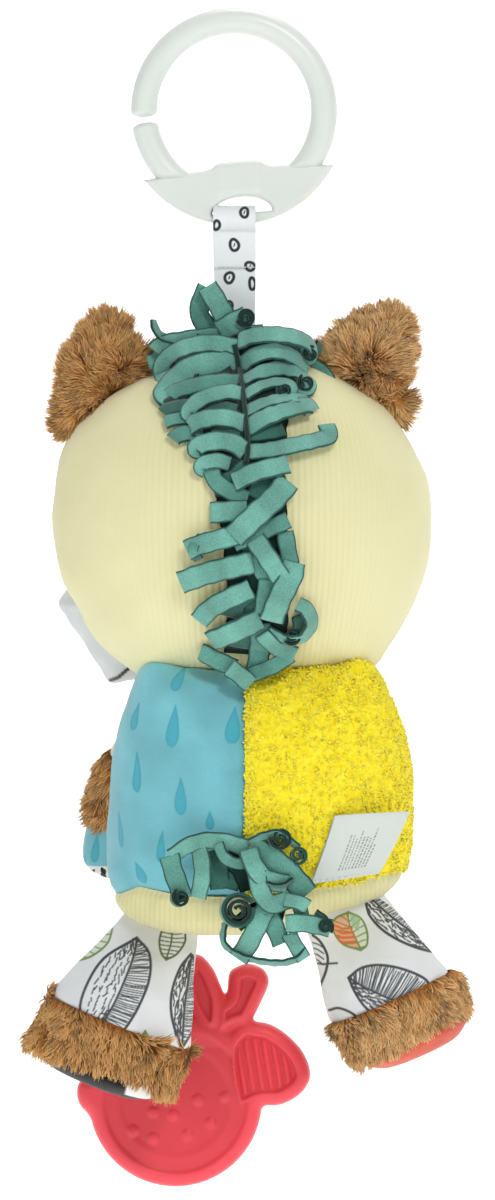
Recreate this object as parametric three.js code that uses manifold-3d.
// Hanging plush pony: clip ring, ribbon strap, stuffed head and body with a
// rattle capsule inside, fur-cuffed legs, ribbon mane and tail, silicone teether.
// Millimetres, +Z up. Origin: highest point of the ring's inner edge, where it hangs.
// +Y is the way the pony faces, -Y is its back.
import * as THREE from 'three';
import { mergeVertices } from 'three/addons/utils/BufferGeometryUtils.js';
import Module from 'manifold-3d';

const wasm = await Module();
wasm.setup();

// ---------------------------------------------------------------- dimensions
const FABRIC = 1.0;          // thickness of every cover fabric
const GAP = 0.3;             // air kept between two neighbouring pieces
const SEAM_X = 2.4;          // centre back seam
const SEAM_Y = 2.0;          // side seam between back panels and front panels
const SEAT_Z = -220.8;       // seam between back panels and seat panel

const RING_C = [-0.5, -20];  // ring centre (x, z)
const RING_R = 23.4;         // ring centre-line radius
const RING_T = 3.4;          // ring wire radius
const RING_GAP = 1.4;        // opening of the C at the left
const RING_GAP_AT = 185.8;   // degrees
const RING_TILT = 4.6;       // degrees the ring hangs turned
const PLATE_T = 4.0;         // crescent plate thickness
const BAR_Z = -48.16;        // bar under the slot
const BAR_X = 0.6;

const STRAP_W = 10.1;        // ribbon width
const STRAP_PLY = 0.8;       // one ply
const STRAP_END = -83.4;     // lower end at the crown seam

const HEAD = {
  c: [1.6, 0, -126.9], front: 33, back: 38,
  outline: [[-21.1, -88.7],[-24.4, -89.4],[-28.3, -91.3],[-33, -94.1],[-38, -98.5],[-43.2, -104],[-45.8, -109.7],[-47.3, -118.6],[-47.8, -126.4],[-46.8, -133.6],[-44.7, -142.7],[-40.6, -150],[-35.4, -158.6],[-29.4, -163.8],[-25, -166.7],[-14.6, -168.2],[-4.9, -168.7],[4.9, -169],[16.6, -168.7],[27, -168],[34.3, -166.1],[39.8, -159.1],[45.8, -149],[49.9, -137],[50.8, -125.1],[49.7, -115.4],[45.5, -106.9],[40.3, -98.8],[34.8, -94.1],[30.2, -91.3],[25.5, -88.7],[21.3, -86.6],[14, -85],[6.8, -84.2],[1, -84.1],[-5.5, -84.2],[-12, -85.3],[-17.2, -86.8]],
};
const BODY = {
  c: [5.0, 0, -201.5], front: 28.5, back: 31.5,
  outline: [[-24.7, -168.2],[-27, -172.9],[-28.9, -177.8],[-31.2, -184.6],[-32.5, -193.2],[-33, -198.6],[-33.5, -210.1],[-33, -219.7],[-32.2, -223.6],[-29.9, -227.8],[-26.3, -230.4],[-20.5, -232.4],[-12, -233.7],[-3.4, -234],[11.4, -231.9],[24.4, -228.3],[32.2, -226.2],[39, -223.3],[43.4, -217.9],[44.7, -212.2],[45.2, -204.4],[45.2, -196.3],[44.5, -187.7],[42.9, -181.7],[39.8, -175.8],[37.2, -170.6],[34.8, -167.7],[27, -169.5],[16.6, -170.3],[4.9, -170.6],[-4.9, -170.3],[-14.6, -169.8]],
};
const EAR_L = {
  c: [-36.0, 0, -85.8], front: 2.2, back: 5.2,
  outline: [[-21.3, -85.8],[-22.4, -80.9],[-24.7, -75.7],[-28.1, -71.2],[-31.7, -69.4],[-36.7, -72.3],[-41.9, -78.3],[-46.3, -85.3],[-48.1, -93.1],[-46.8, -99.1],[-43.9, -102.7],[-38.5, -97.4],[-33.5, -93],[-28.9, -90.1],[-24.7, -88.3]],
};
const EAR_R = {
  c: [35.4, 0, -83.5], front: 2.2, back: 5.2,
  outline: [[22.4, -84.8],[22.4, -80.9],[23.7, -78],[25.5, -75.9],[30.2, -72.3],[35.4, -70.2],[40.8, -69.7],[43.9, -70.5],[46.3, -72.5],[47.8, -79.6],[48.4, -87.6],[46.8, -93.9],[43.9, -97.6],[41.1, -97.5],[35.6, -92.8],[30.7, -89.8],[26, -87.2]],
};
const MUZZLE = {
  c: [-24, 30, -149.5], front: 22, back: 20,
  outline: [[-47.1, -148.2],[-45, -151.3],[-40.6, -157.8],[-36.1, -164.6],[-33.3, -169],[-28.6, -168.5],[-22.4, -166.4],[-12, -160.2],[-7.8, -149.8],[-12, -139.4],[-22.4, -133.6],[-32.8, -135.7],[-41.1, -140.9],[-45.2, -145.1]],
};
const EYES = [[-17, -118], [21, -117]];
const EYE_R = 4.0;

const CASE_C = [5, 0, -200];  // rattle capsule centre
const CASE_R = 11.5, CASE_H = 15, CASE_WALL = 1.4;
const BEAD_R = 3.2, BEAD_AT = 4.4;

// rear legs: hip point (x, y, z), tilt in degrees outward, profile radii
const REAR_L = { hip: [-19.3, -6.5, -231.9], tilt: -22, rTop: 9.4, rCuff: 19.6, cone: 25.6, cuff: 17.5, fur: 1.6 };
const REAR_R = { hip: [28.6, -6.5, -228.6], tilt: 24, rTop: 10.6, rCuff: 16.6, cone: 22.6, cuff: 17.5, fur: 1.5 };
const FRONT_L = { top: [-22, 25.1, -178.8], tilt: -15, lean: 16, r: [8, 9.4, 9.6, 9.0] };
const FRONT_R = { top: [31, 28.5, -178.8], tilt: 6, lean: 16, r: [8, 9.4, 9.6, 9.0] };

const TEETHER_Y = 22.4, TEETHER_T = 7.0;
const RIBBON_X = -19.8;      // teether ribbon centre
const TEETHER_C = [-16.6, -275.9], TEETHER_R = 24.2;
const TEETHER_BAR_Z = -253.1;

// ---------------------------------------------------------------- geometry tools
const D2R = Math.PI / 180;

function solidOf(pos, tri) {
  const vert = new Float32Array(pos.flat());
  let idx = new Uint32Array(tri.flat());
  let m = new wasm.Manifold(new wasm.Mesh({ numProp: 3, vertProperties: vert, triVerts: idx }));
  if (m.volume() < 0) {
    const flipped = tri.map(([a, b, c]) => [a, c, b]);
    m = new wasm.Manifold(new wasm.Mesh({ numProp: 3, vertProperties: vert, triVerts: new Uint32Array(flipped.flat()) }));
  }
  return m;
}

function solidFromGeometry(geometry) {
  let g = geometry.clone();
  g.deleteAttribute('normal');
  if (g.attributes.uv) g.deleteAttribute('uv');
  g = mergeVertices(g, 1e-4);
  const idx = g.index.array, pos = g.attributes.position;
  const p = [], t = [];
  for (let i = 0; i < pos.count; i++) p.push([pos.getX(i), pos.getY(i), pos.getZ(i)]);
  for (let i = 0; i < idx.length; i += 3) {
    if (idx[i] !== idx[i + 1] && idx[i + 1] !== idx[i + 2] && idx[i] !== idx[i + 2]) t.push([idx[i], idx[i + 1], idx[i + 2]]);
  }
  return solidOf(p, t);
}

function block(x0, x1, y0, y1, z0, z1) {
  const g = new THREE.BoxGeometry(x1 - x0, y1 - y0, z1 - z0);
  g.translate((x0 + x1) / 2, (y0 + y1) / 2, (z0 + z1) / 2);
  return solidFromGeometry(g);
}

// radius of a closed outline about its centre, as a smooth periodic function
function radiusOf(outline, cx, cz) {
  const list = outline.map(([x, z]) => ({ a: Math.atan2(z - cz, x - cx), r: Math.hypot(x - cx, z - cz) })).sort((p, q) => p.a - q.a);
  const n = list.length;
  return (angle) => {
    const a = Math.atan2(Math.sin(angle), Math.cos(angle));
    let i = list.findIndex((p) => p.a > a);
    if (i < 0) i = 0;
    const p1 = list[(i - 1 + n) % n], p2 = list[i], p0 = list[(i - 2 + n) % n], p3 = list[(i + 1) % n];
    let span = p2.a - p1.a; if (span <= 0) span += 2 * Math.PI;
    let t = a - p1.a; if (t < 0) t += 2 * Math.PI;
    t = Math.min(1, t / span);
    const m1 = (p2.r - p0.r) / 2 * 0.6, m2 = (p3.r - p1.r) / 2 * 0.6;
    const t2 = t * t, t3 = t2 * t;
    return (2 * t3 - 3 * t2 + 1) * p1.r + (t3 - 2 * t2 + t) * m1 + (-2 * t3 + 3 * t2) * p2.r + (t3 - t2) * m2;
  };
}

// stuffed shape: an outline in XZ swelling to the given depths in Y
function stuffed(shape, inset = 0, nu = 36, nv = 5) {
  const [cx, cy, cz] = shape.c;
  const radius = radiusOf(shape.outline, cx, cz);
  const pos = [[cx, cy - (shape.back - inset), cz]], tri = [];
  for (let v = -nv + 1; v < nv; v++) {
    const psi = v / nv * Math.PI / 2;
    const depth = v < 0 ? shape.back - inset : shape.front - inset;
    for (let u = 0; u < nu; u++) {
      const a = u / nu * 2 * Math.PI;
      const r = (radius(a) - inset) * Math.cos(psi);
      pos.push([cx + r * Math.cos(a), cy + depth * Math.sin(psi), cz + r * Math.sin(a)]);
    }
  }
  pos.push([cx, cy + shape.front - inset, cz]);
  const rings = 2 * nv - 1, last = pos.length - 1;
  for (let u = 0; u < nu; u++) {
    const w = (u + 1) % nu;
    tri.push([0, 1 + u, 1 + w]);
    for (let k = 0; k < rings - 1; k++) {
      const a = 1 + k * nu + u, b = 1 + k * nu + w, c = a + nu, d = b + nu;
      tri.push([a, c, b], [b, c, d]);
    }
    const e = 1 + (rings - 1) * nu;
    tri.push([e + u, last, e + w]);
  }
  return solidOf(pos, tri);
}

// depth of a stuffed shape's back surface at (x, z)
function backAt(shape, x, z) {
  const [cx, cy, cz] = shape.c;
  const radius = radiusOf(shape.outline, cx, cz);
  const rho = Math.hypot(x - cx, z - cz) / radius(Math.atan2(z - cz, x - cx));
  return cy - shape.back * Math.sqrt(Math.max(0, 1 - rho * rho));
}

// XZ outline given thickness in Y
function slab(outline, y0, y1, holes = [], bevel = 0) {
  const s = new THREE.Shape(outline.map(([x, z]) => new THREE.Vector2(x, z)));
  for (const h of holes) s.holes.push(new THREE.Path(h.map(([x, z]) => new THREE.Vector2(x, z))));
  const g = new THREE.ExtrudeGeometry(s, {
    depth: y1 - y0 - 2 * bevel, bevelEnabled: bevel > 0, bevelThickness: bevel, bevelSize: bevel, bevelOffset: -bevel, bevelSegments: 1, curveSegments: 4,
  });
  g.applyMatrix4(new THREE.Matrix4().makeBasis(new THREE.Vector3(1, 0, 0), new THREE.Vector3(0, 0, 1), new THREE.Vector3(0, -1, 0)));
  g.translate(0, y1 - bevel, 0);
  return solidFromGeometry(g);
}

// YZ profile given width in X
function profile(outline, x0, x1, holes = []) {
  const s = new THREE.Shape(outline.map(([y, z]) => new THREE.Vector2(y, z)));
  for (const h of holes) s.holes.push(new THREE.Path(h.map(([y, z]) => new THREE.Vector2(y, z))));
  const g = new THREE.ExtrudeGeometry(s, { depth: x1 - x0, bevelEnabled: false, curveSegments: 4 });
  g.applyMatrix4(new THREE.Matrix4().makeBasis(new THREE.Vector3(0, 1, 0), new THREE.Vector3(0, 0, 1), new THREE.Vector3(1, 0, 0)));
  g.translate(x0, 0, 0);
  return solidFromGeometry(g);
}

// section swept through frames {p, n, b, s}; closed ends unless the path is a loop
function sweep(frames, section, loop = false) {
  const pos = [], tri = [], m = section.length;
  for (const f of frames) {
    for (const [a, b] of section) {
      pos.push([0, 1, 2].map((k) => f.p[k] + (a * f.n[k] + b * f.b[k]) * (f.s ?? 1)));
    }
  }
  const n = frames.length, rows = loop ? n : n - 1;
  for (let i = 0; i < rows; i++) {
    for (let j = 0; j < m; j++) {
      const a = i * m + j, b = i * m + (j + 1) % m, c = ((i + 1) % n) * m + j, d = ((i + 1) % n) * m + (j + 1) % m;
      tri.push([a, c, b], [b, c, d]);
    }
  }
  if (!loop) {
    for (const [row, flip] of [[0, false], [n - 1, true]]) {
      const centre = pos.length;
      pos.push([...frames[row].p]);
      for (let j = 0; j < m; j++) {
        const a = row * m + j, b = row * m + (j + 1) % m;
        tri.push(flip ? [centre, b, a] : [centre, a, b]);
      }
    }
  }
  return solidOf(pos, tri);
}

function circle(r, n = 12) {
  return Array.from({ length: n }, (_, i) => [r * Math.cos(i / n * 2 * Math.PI), r * Math.sin(i / n * 2 * Math.PI)]);
}

function lathe(points, segments, place) {
  const g = new THREE.LatheGeometry(points.map(([r, z]) => new THREE.Vector2(r, z)), segments);
  g.applyMatrix4(new THREE.Matrix4().makeBasis(new THREE.Vector3(1, 0, 0), new THREE.Vector3(0, 0, 1), new THREE.Vector3(0, -1, 0)));
  g.applyMatrix4(place);
  return solidFromGeometry(g);
}

// tilt moves a limb's lower end to +X, lean moves it to +Y
function placeAt([x, y, z], tiltDeg, leanDeg = 0) {
  return new THREE.Matrix4().makeTranslation(x, y, z)
    .multiply(new THREE.Matrix4().makeRotationY(-tiltDeg * D2R))
    .multiply(new THREE.Matrix4().makeRotationX(leanDeg * D2R));
}

const sub = (a, b) => [a[0] - b[0], a[1] - b[1], a[2] - b[2]];
const unit = (a) => { const l = Math.hypot(...a); return [a[0] / l, a[1] / l, a[2] / l]; };
const cross = (a, b) => [a[1] * b[2] - a[2] * b[1], a[2] * b[0] - a[0] * b[2], a[0] * b[1] - a[1] * b[0]];

// one ribbon loop: out along the cloth from root to tip, folded back above itself
function ribbonLoop(root, tip, depthAt, width, lift, ply = 0.9, steps = 4) {
  const dir = unit([tip[0] - root[0], 0, tip[1] - root[1]]);
  const side = [-dir[2], 0, dir[0]];
  const centre = [];
  for (let i = 0; i <= steps; i++) {
    const t = i / steps, x = root[0] + (tip[0] - root[0]) * t, z = root[1] + (tip[1] - root[1]) * t;
    centre.push([x, depthAt(x, z) - 0.9 - 0.8 * t, z]);
  }
  const reach = Math.hypot(tip[0] - root[0], tip[1] - root[1]);
  const bulge = Math.min(lift / 2, reach * 0.3);
  const end = centre[steps];
  for (const a of [-45, 0, 45]) {
    centre.push([end[0] + dir[0] * bulge * Math.cos(a * D2R), end[1] - lift / 2 - lift / 2 * Math.sin(a * D2R), end[2] + dir[2] * bulge * Math.cos(a * D2R)]);
  }
  for (let i = steps; i >= 0; i--) {
    const t = i / steps, x = root[0] + (tip[0] - root[0]) * t, z = root[1] + (tip[1] - root[1]) * t;
    centre.push([x, depthAt(x, z) - 1.7 - lift * (0.55 + 0.45 * Math.sin(t * Math.PI / 2)), z]);
  }
  const n = centre.length;
  const frames = centre.map((p, i) => {
    const tan = unit(sub(centre[(i + 1) % n], centre[(i - 1 + n) % n]));
    const k = i <= steps ? i / steps : i >= steps + 4 ? (n - 1 - i) / steps : 1;
    const x = root[0] + (tip[0] - root[0]) * k, z = root[1] + (tip[1] - root[1]) * k;
    const rise = (depthAt(x + side[0], z + side[2]) - depthAt(x - side[0], z - side[2])) / 2;
    const b = unit([side[0], rise, side[2]]);
    return { p, n: unit(cross(tan, b)), b };
  });
  const h = ply / 2, w = width / 2;
  return sweep(frames, [[h, w], [h, -w], [-h, -w], [-h, w]], true);
}

// drops sealed pockets left where ribbons cross
function pocketless(solid) {
  const mesh = solid.getMesh(), np = mesh.numProp, v = mesh.vertProperties, t = mesh.triVerts;
  const key = new Map(), id = [];
  for (let i = 0; i < v.length / np; i++) {
    const k = [0, 1, 2].map((j) => Math.round(v[i * np + j] * 1e4)).join();
    if (!key.has(k)) key.set(k, key.size);
    id.push(key.get(k));
  }
  const up = Array.from({ length: key.size }, (_, i) => i);
  const top = (i) => { while (up[i] !== i) { up[i] = up[up[i]]; i = up[i]; } return i; };
  for (let i = 0; i < t.length; i += 3) { up[top(id[t[i]])] = top(id[t[i + 1]]); up[top(id[t[i + 2]])] = top(id[t[i]]); }
  const volume = new Map();
  const at = (i) => [v[i * np], v[i * np + 1], v[i * np + 2]];
  for (let i = 0; i < t.length; i += 3) {
    const [a, b, c] = [at(t[i]), at(t[i + 1]), at(t[i + 2])], k = top(id[t[i]]), n = cross(b, c);
    volume.set(k, (volume.get(k) ?? 0) + a[0] * n[0] + a[1] * n[1] + a[2] * n[2]);
  }
  const pos = [], tri = [];
  for (let i = 0; i < v.length / np; i++) pos.push(at(i));
  for (let i = 0; i < t.length; i += 3) if (volume.get(top(id[t[i]])) > 0) tri.push([t[i], t[i + 1], t[i + 2]]);
  return solidOf(pos, tri);
}

const parts = [];
const paint = {
  ring: [0.89, 0.91, 0.89, 0.35], strap: [0.86, 0.88, 0.9, 0.8], cream: [0.92, 0.9, 0.73, 0.9], stuffing: [0.95, 0.95, 0.93, 1],
  white: [0.86, 0.87, 0.86, 0.9], fur: [0.62, 0.4, 0.2, 0.95], lining: [0.85, 0.78, 0.6, 0.9], teal: [0.4, 0.68, 0.61, 0.75],
  dark: [0.08, 0.08, 0.08, 0.7], blue: [0.45, 0.74, 0.79, 0.9], yellow: [0.95, 0.88, 0.2, 0.95], label: [0.93, 0.94, 0.92, 0.7],
  print: [0.88, 0.89, 0.88, 0.9], coral: [0.9, 0.38, 0.3, 0.85], silicone: [0.9, 0.28, 0.3, 0.45], plastic: [0.9, 0.9, 0.9, 0.4], bead: [0.8, 0.75, 0.3, 0.4], shade: [0.3, 0.32, 0.34, 0.9],
};
function add(name, solid, key) {
  const mesh = solid.getMesh();
  const g = new THREE.BufferGeometry();
  const np = mesh.numProp, vp = mesh.vertProperties, count = vp.length / np;
  const p = new Float32Array(count * 3);
  for (let i = 0; i < count; i++) for (let k = 0; k < 3; k++) p[i * 3 + k] = vp[i * np + k];
  g.setAttribute('position', new THREE.BufferAttribute(p, 3));
  g.setIndex(new THREE.BufferAttribute(new Uint32Array(mesh.triVerts), 1));
  g.computeVertexNormals();
  const [r, gg, b, rough] = paint[key];
  const m = new THREE.Mesh(g, new THREE.MeshStandardMaterial({ color: new THREE.Color(r, gg, b), roughness: rough, metalness: 0 }));
  m.name = name;
  m.material.name = name;
  parts.push(m);
}

// ---------------------------------------------------------------- clip ring
{
  const [cx, cz] = RING_C;
  const half = RING_GAP / 2 / RING_R / D2R;
  const wire = RING_T / RING_R / D2R * 0.35;
  const a0 = RING_GAP_AT + half, a1 = RING_GAP_AT + 360 - half;
  const stops = [[a0, 0.55], [a0 + wire * 0.35, 0.85], [a0 + wire, 1]];
  const n = 32;
  for (let i = 1; i < n; i++) stops.push([a0 + wire + (a1 - a0 - 2 * wire) * i / n, 1]);
  stops.push([a1 - wire, 1], [a1 - wire * 0.35, 0.85], [a1, 0.55]);
  const frames = stops.map(([a, s]) => {
    const c = Math.cos(a * D2R), d = Math.sin(a * D2R);
    return { p: [cx + RING_R * c, 0, cz + RING_R * d], n: [c, 0, d], b: [0, 1, 0], s };
  });
  const ring = sweep(frames, circle(RING_T, 10));
  // crescent plate with a half-moon slot, turned with the ring
  const t = RING_TILT * D2R;
  const turn = ([x, z]) => [cx + x * Math.cos(t) - z * Math.sin(t), cz + x * Math.sin(t) + z * Math.cos(t)];
  const crescent = [[-24.8, -16.1], [-13, -15.1], [-7.4, -15.1], [-5.4, -13.4], [5.4, -13.4], [7.4, -15.1], [13, -15.1], [24.8, -16.1]].reverse();
  const arc = [];
  for (let i = 1; i < 14; i++) {
    const a = Math.atan2(-15.6, -24.8) + (Math.atan2(-15.6, 24.8) - Math.atan2(-15.6, -24.8)) * i / 14;
    arc.push([29.2 * Math.cos(a), -0.5 + 29.2 * Math.sin(a)]);
  }
  const slot = [];
  for (let i = 0; i <= 8; i++) {
    const a = Math.PI * i / 8;
    slot.push([7.8 * Math.cos(a), -26.6 + 4.1 * Math.sin(a)]);
  }
  const plate = slab([...crescent, ...arc].map(turn), -PLATE_T / 2, PLATE_T / 2, [slot.map(turn)], 0.7);
  const window_ = slab([[-8.4, -26.3], [8.4, -26.3], [7, -23.6], [0, -22.2], [-7, -23.6]].map(turn), -6, 6);
  add('clip_ring', ring.subtract(window_).add(plate), 'ring');
}

// ---------------------------------------------------------------- hanging strap
{
  const ri = 2.7, ro = ri + STRAP_PLY, h = STRAP_PLY + 0.1;
  const outer = [];
  const open = Math.asin(h / ro);
  for (let i = 0; i <= 16; i++) {
    const a = -Math.PI / 2 + open + (2 * Math.PI - 2 * open) * i / 16;
    outer.push([ro * Math.cos(a), BAR_Z + ro * Math.sin(a)]);
  }
  outer.push([-h, STRAP_END], [h, STRAP_END]);
  const inner = circle(ri, 14).map(([y, z]) => [y, BAR_Z + z]);
  const body = profile(outer, -8, 8, [inner]);
  const cut = slab([[-3.6, -40], [4.8, -40], [4.8, -52.2], [4.95, -55], [4.9, -70], [4.7, STRAP_END - 1], [-4.9, STRAP_END - 1], [-5.1, -70], [-5.2, -55], [-3.6, -52.2]], -6, 6);
  add('hanging_strap', body.intersect(cut), 'strap');
}

// ---------------------------------------------------------------- head
const far = 200;
const headOut = stuffed(HEAD, 0);
const headShell = headOut.subtract(stuffed(HEAD, FABRIC));
add('head_stuffing', stuffed(HEAD, FABRIC + GAP), 'stuffing');
add('head_back_panel_left', headShell.intersect(block(-far, SEAM_X - GAP / 2, -far, SEAM_Y - GAP / 2, -far, 0)), 'cream');
add('head_back_panel_right', headShell.intersect(block(SEAM_X + GAP / 2, far, -far, SEAM_Y - GAP / 2, -far, 0)), 'cream');
add('face_panel', headShell.intersect(block(-far, far, SEAM_Y + GAP / 2, far, -far, 0)), 'cream');
const headGrown = stuffed(HEAD, -GAP);
add('muzzle_cover', stuffed(MUZZLE, 0, 24, 4).subtract(headGrown), 'white');
EYES.forEach(([x, z], i) => {
  const y = -backAt({ ...HEAD, back: HEAD.front }, x, z) - 0.6;
  const eye = stuffed({ c: [x, y, z], front: 2.6, back: 2.6, outline: circle(EYE_R, 10).map(([a, b]) => [x + a, z + b]) }, 0, 10, 3);
  add(i ? 'eye_patch_right' : 'eye_patch_left', eye.subtract(headGrown), 'dark');
});

// ears: fur on the back, lining on the front
for (const [side, shape] of [['left', EAR_L], ['right', EAR_R]]) {
  const ear = stuffed(shape, 0, 22, 3);
  add(`ear_${side}_fur`, ear.intersect(block(-far, far, -far, 0, -far, 0)), 'fur');
  add(`ear_${side}_lining`, ear.intersect(block(-far, far, GAP, far, -far, 0)), 'lining');
}

// mane: two rows of folded ribbon loops, sewn each side of a binding tape
const headDepth = (x, z) => {
  const zz = Math.min(z, -89);
  return Math.min(backAt(HEAD, x, zz), -7 - 0.0 * x) - 0.35;
};
function tape(points, halfWidth, depthAt, thick, out) {
  const frames = points.map(([x, z], i) => {
    const q = points[Math.min(points.length - 1, i + 1)], p = points[Math.max(0, i - 1)];
    const tan = unit([q[0] - p[0], depthAt(q[0], q[1]) - depthAt(p[0], p[1]), q[1] - p[1]]);
    const b = unit([1, (depthAt(x + 1, z) - depthAt(x - 1, z)) / 2, 0]);
    return { p: [x, depthAt(x, z) - out - thick / 2, z], n: unit(cross(tan, b)), b };
  });
  const h = thick / 2;
  return sweep(frames, [[h, halfWidth], [h, -halfWidth], [-h, -halfWidth], [-h, halfWidth]]);
}
{
  const line = [];
  for (let z = -92; z >= -162; z -= 7) line.push([SEAM_X, z]);
  add('mane_binding_tape', tape(line, 2.2, headDepth, 0.9, 0.1), 'teal');
  const row = (side, loops) => {
    const x0 = SEAM_X + side * 5.2;
    const spine = line.map(([, z]) => [x0, z]);
    let solid = tape(spine, 2.2, headDepth, 1.1, 0.25);
    for (const [z0, tx, tz, w, lift] of loops) solid = solid.add(ribbonLoop([x0 - side * 0.4, z0], [tx, tz], headDepth, w, lift));
    return solid;
  };
  add('mane_ribbons_left', pocketless(row(-1, [
    [-94, ...[-15.6, -92], 5.2, 4.4], [-101, ...[-16.1, -101.4], 5.2, 4.2], [-109, ...[-13.5, -107.1], 5.2, 4.0], [-117, ...[-7.8, -117], 5.0, 4.0],
    [-124, ...[-5.7, -123.2], 5.0, 4.0], [-132, ...[-12, -131.6], 5.2, 4.4], [-140, ...[-12.5, -139.9], 5.2, 4.4], [-149, ...[-8.8, -149.8], 5.0, 4.2], [-158, ...[-8.1, -159.6], 5.0, 4.0]])), 'teal');
  add('mane_ribbons_right', pocketless(row(1, [
    [-94, ...[22.4, -91], 5.2, 4.4], [-101, ...[18.2, -99.3], 5.2, 4.2], [-109, ...[21.8, -106.1], 5.2, 4.2], [-119, ...[14, -115.4], 5.0, 4.0],
    [-128, ...[13, -124.3], 5.0, 4.0], [-136, ...[13, -132.9], 5.2, 4.4], [-143, ...[14.6, -140.7], 5.2, 4.4], [-150, ...[17.7, -151.8], 5.0, 4.2], [-158, ...[14.6, -160.2], 5.0, 4.0]])), 'teal');
  // crown tuft standing up behind the strap
  const crownDepth = () => -5.2;
  let crown = sweep([[-15, -83.0], [-8, -82.2], [10, -82.2], [19, -83.2]].map(([x, z]) => ({ p: [x, -7.6, z], n: [0, 1, 0], b: [0, 0, 1] })), [[1.3, 1.3], [1.3, -1.3], [-1.3, -1.3], [-1.3, 1.3]]);
  for (const [x0, tx, tz, w, lift] of [[-11, ...[-20.3, -76.4], 6, 4.4], [-5, ...[-6.2, -67.1], 6, 4.6], [0.6, ...[0, -73.8], 6, 3.6], [8, ...[12, -78], 6, 4.2], [14, ...[20.3, -80.9], 6, 4.2]]) {
    crown = crown.add(ribbonLoop([x0, -82.2], [tx, tz], crownDepth, w, lift));
  }
  add('mane_crown_ribbons', pocketless(crown), 'teal');
}

// ---------------------------------------------------------------- body
const bodyOut = stuffed(BODY, 0);
const bodyShell = bodyOut.subtract(stuffed(BODY, FABRIC));
const capsule = (r, h, c = 1.2) => lathe([[0, h], [r - c, h], [r, h - c], [r, -h + c], [r - c, -h], [0, -h]], 16, placeAt(CASE_C, 0));
const fill = stuffed(BODY, FABRIC + GAP).subtract(capsule(CASE_R + 0.4, CASE_H + 0.4));
add('body_stuffing_back', fill.intersect(block(-far, far, -far, -GAP / 2, -2 * far, 0)), 'stuffing');
add('body_stuffing_front', fill.intersect(block(-far, far, GAP / 2, far, -2 * far, 0)), 'stuffing');
const caseShell = capsule(CASE_R, CASE_H).subtract(capsule(CASE_R - CASE_WALL, CASE_H - CASE_WALL, 0.5));
add('rattle_case_upper', caseShell.intersect(block(-far, far, -far, far, CASE_C[2] + GAP / 2, 0)), 'plastic');
add('rattle_case_lower', caseShell.intersect(block(-far, far, -far, far, -2 * far, CASE_C[2] - GAP / 2)), 'plastic');
[[-1, -1], [1, -1], [-1, 1], [1, 1]].forEach(([i, j], k) => {
  const g = new THREE.IcosahedronGeometry(BEAD_R, 1);
  g.translate(CASE_C[0] + i * BEAD_AT, j * BEAD_AT, CASE_C[2] - CASE_H + CASE_WALL + BEAD_R + 0.4);
  add(`rattle_bead_${k + 1}`, solidFromGeometry(g), 'bead');
});
const rim = SEAM_Y - GAP / 2;
add('body_back_panel_blue', bodyShell.intersect(block(-far, SEAM_X - GAP / 2, -far, rim, SEAT_Z + GAP / 2, 0)), 'blue');
add('body_back_panel_yellow', bodyShell.intersect(block(SEAM_X + GAP / 2, far, -far, rim, SEAT_Z + GAP / 2, 0)), 'yellow');
add('seat_panel', bodyShell.intersect(block(-far, far, -far, far, -2 * far, SEAT_Z - GAP / 2)), 'cream');
add('belly_panel', bodyShell.intersect(block(-far, far, SEAM_Y + GAP / 2, far, SEAT_Z + GAP / 2, 0)), 'white');

// care label: two plies, sewn into the seat seam along its lower edge
{
  const a = [19.2, -26.3, -219.6], b = [38.2, -21.1, -216.4], c = [25.2, -30.6, -202];
  const d = [45.0, -24.0, -201.4];
  const n = unit(cross(sub(b, a), sub(c, a)));
  const pos = [];
  for (const s of [-0.35, 0.35]) for (const q of [a, b, d, c]) pos.push([q[0] + n[0] * s, q[1] + n[1] * s, q[2] + n[2] * s]);
  add('care_label', solidOf(pos, [[0, 2, 1], [0, 3, 2], [4, 5, 6], [4, 6, 7], [0, 1, 5], [0, 5, 4], [1, 2, 6], [1, 6, 5], [2, 3, 7], [2, 7, 6], [3, 0, 4], [3, 4, 7]]), 'label');
}

// tail: ribbon loops from one stitched root
{
  const root = [2.1, -215.3];
  const depth = () => -31.7;
  let tail = sweep([[-4.5], [4.5]].map(([dx]) => ({ p: [root[0] + dx, -33.9, root[1]], n: [0, 1, 0], b: [0, 0, 1] })), [[1.6, 2.2], [1.6, -2.2], [-1.6, -2.2], [-1.6, 2.2]]);
  for (const [dx, dz, tx, tz, w, lift] of [[-3, 0.6, ...[-17.2, -213.7], 6, 5], [-3, -0.6, ...[-13.5, -224.1], 6, 4.2], [-1, -1, ...[-1, -230.4], 6, 5.4], [1, -1, ...[9.4, -238.2], 6, 4.4], [3, -0.4, ...[21.8, -228.8], 6, 5], [3, 0.6, ...[15.6, -208.5], 6, 5.4], [-2, -1, ...[-3.1, -236.6], 6, 3.8]]) {
    tail = tail.add(ribbonLoop([root[0] + dx, root[1] + dz], [tx, tz], depth, w, lift));
  }
  add('tail_ribbons', pocketless(tail), 'teal');
}

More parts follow.
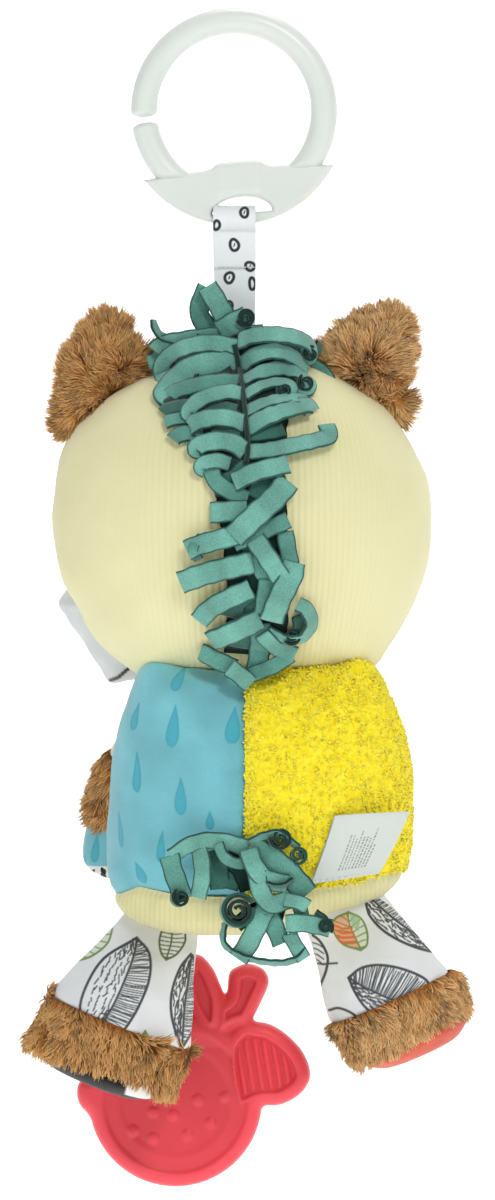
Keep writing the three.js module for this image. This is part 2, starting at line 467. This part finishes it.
// ---------------------------------------------------------------- rear legs
function rearLeg(side, leg, soleKey) {
  const place = placeAt(leg.hip, leg.tilt);
  const { rTop, rCuff, cone, cuff, fur } = leg;
  const dome = [[0, -0.5]];
  for (const a of [30, 55, 75]) dome.push([rTop * Math.sin(a * D2R), -0.5 - rTop * (1 - Math.cos(a * D2R))]);
  const pts = (inset, z1) => {
    const p = dome.map(([r, z], i) => (i ? [r - inset, z - inset * 0.6] : [0, z - inset]));
    return [...p, [rCuff - inset, -cone + (inset ? 0 : 0)], [rCuff - inset, z1], [0, z1]];
  };
  const cover = lathe(pts(0, -cone - 1), 20, place);
  const core = lathe(pts(FABRIC, -cone - 2), 20, place);
  const open = lathe([[0, -cone + 0.4 - 0.4], [rCuff + 9, -cone], [rCuff + 9, -cone - 60], [0, -cone - 60]], 20, place);
  add(`rear_leg_${side}_cover`, cover.subtract(core).subtract(open), 'print');
  const rFill = rCuff - FABRIC - GAP;
  const fillPts = pts(FABRIC + GAP, -cone - cuff + 1.2).map(([r, z]) => [r, z]);
  add(`rear_leg_${side}_stuffing`, lathe(fillPts, 20, place), 'stuffing');
  const z0 = -cone - GAP, z1 = -cone - cuff;
  const ri = rFill + GAP;
  add(`rear_leg_${side}_fur_cuff`, lathe([[ri, z0], [rCuff + fur * 0.6, z0], [rCuff + fur, z0 - 3], [rCuff + fur, z1 + 3.5], [rCuff - 0.4, z1], [ri, z1 + 0.4], [ri, z0]], 20, place), 'fur');
  const rs = ri - GAP;
  add(`rear_leg_${side}_sole`, lathe([[0, z1 + 0.8], [rs, z1 + 0.8], [rs, z1 - 0.4], [rs * 0.7, z1 - 1.4], [0, z1 - 2]], 20, place), soleKey);
}
rearLeg('left', REAR_L, 'shade');
rearLeg('right', REAR_R, 'coral');

// ---------------------------------------------------------------- front legs
function frontLeg(side, leg) {
  const place = placeAt(leg.top, leg.tilt, leg.lean);
  const [r0, r1, r2, r3] = leg.r;
  const dome = [[0, 0]];
  for (const a of [30, 60, 90]) dome.push([r0 * Math.sin(a * D2R), -r0 * (1 - Math.cos(a * D2R))]);
  add(`front_leg_${side}_sleeve`, lathe([...dome, [r0 + 0.3, -11.5], [0, -11.5]], 16, place), 'cream');
  add(`front_leg_${side}_fur_cuff`, lathe([[0, -11.8], [r1, -11.8], [r2 + 0.8, -15], [r2 + 0.6, -27], [r2 - 0.6, -28.5], [0, -28.5]], 16, place), 'fur');
  add(`front_leg_${side}_hoof`, lathe([[0, -28.8], [r3, -28.8], [r2, -34], [r3 - 0.4, -41], [r3 - 2.2, -43.5], [0, -44.3]], 16, place), 'blue');
}
frontLeg('left', FRONT_L);
frontLeg('right', FRONT_R);

// ---------------------------------------------------------------- teether and its ribbon
{
  const [cx, cz] = TEETHER_C;
  const y0 = TEETHER_Y - TEETHER_T / 2, y1 = TEETHER_Y + TEETHER_T / 2;
  const disc = slab(circle(TEETHER_R, 32).map(([a, b]) => [cx + a, cz + b]), y0, y1, [], 1.2);
  const nub = slab([[-34.3, -284.4],[-37.4, -283.4],[-40.6, -281.1],[-41.9, -278.2],[-41.6, -274.8],[-39.8, -273.5],[-35.1, -272.5],[-30.2, -274.6]].reverse(), y0, y1, [], 1.0);
  const leaf = slab([[0, -283.9],[3.6, -281.8],[6.8, -280.5],[11.4, -280.3],[15.9, -278.2],[18.7, -275.1],[19.5, -271.4],[17.7, -266.5],[14, -262.3],[9.9, -259.5],[6.2, -258.4],[1, -258.4],[-2.9, -264.2]].reverse(), y0, y1, [], 1.2);
  const petalR = slab([[-5.5, -261.6],[3.6, -258.4],[6.8, -252.7],[8.6, -248],[7.3, -244.7],[3.4, -243.1],[0.3, -243.9],[-1.8, -245.7],[-2.6, -251.2],[-5.7, -254.3]].reverse(), y0 + 0.6, y1 - 0.6, [], 1.0);
  const petalL = slab([[-3.6, -259],[-3.1, -252.2],[-4.4, -248],[-6.2, -244.1],[-9.6, -240.8],[-13, -241.8],[-14.6, -247.3],[-13.5, -253.2],[-10.7, -259]].reverse(), y0 + 0.6, y1 - 0.6, [], 1.0);
  let solid = disc.add(nub).add(leaf).add(petalR).add(petalL);
  // recesses in both faces and the window for the ribbon
  for (const [a, b] of [[y0 - 1, y0 + 1.2], [y1 - 1.2, y1 + 1]]) {
    solid = solid.subtract(slab(circle(14.5, 20).map(([u, v]) => [cx - 1 + u, cz - 3.5 + v * 0.82]), a, b));
    for (let i = 0; i < 6; i++) {
      const x = 2.6 + i * 2.4;
      const lo = [-278.2, -278.7, -278.2, -277.2, -275.6, -273.5][i], hi = [-262.1, -261.6, -262.3, -263.6, -265.7, -268.8][i];
      solid = solid.subtract(block(x, x + 1.1, Math.min(a, b), Math.max(a, b), lo, hi));
    }
  }
  solid = solid.subtract(block(RIBBON_X - 4.6, RIBBON_X + 4.6, y0 - 2, y1 + 2, TEETHER_BAR_Z - 6.2, TEETHER_BAR_Z - 1.4));
  for (const s of [-1, 1]) solid = solid.subtract(block(RIBBON_X - 4.6, RIBBON_X + 4.6, Math.min(TEETHER_Y + s * 2.0, TEETHER_Y + s * 9), Math.max(TEETHER_Y + s * 2.0, TEETHER_Y + s * 9), TEETHER_BAR_Z - 6.2, TEETHER_BAR_Z + 6));
  add('teether', solid, 'silicone');

  const ri = 2.9, ro = 3.7, h = 0.85;
  const outer = [];
  const open = Math.asin(h / ro);
  for (let i = 0; i <= 14; i++) {
    const a = Math.PI / 2 + open + (2 * Math.PI - 2 * open) * i / 14;
    outer.push([TEETHER_Y + ro * Math.cos(a), TEETHER_BAR_Z + ro * Math.sin(a)]);
  }
  const rootY = 21.8;
  outer.push([TEETHER_Y + h, -240], [rootY + h, -223.5], [rootY + h, -222.2], [rootY - h, -222.2], [rootY - h, -223.5], [TEETHER_Y - h, -240]);
  const inner = circle(ri, 12).map(([y, z]) => [TEETHER_Y + y, TEETHER_BAR_Z + z]);
  add('teether_ribbon', profile(outer, RIBBON_X - 3.6, RIBBON_X + 3.6, [inner]), 'teal');
}

const part = new THREE.Group();
part.name = 'hanging_plush_pony';
for (const mesh of parts) part.add(mesh);
export default part;
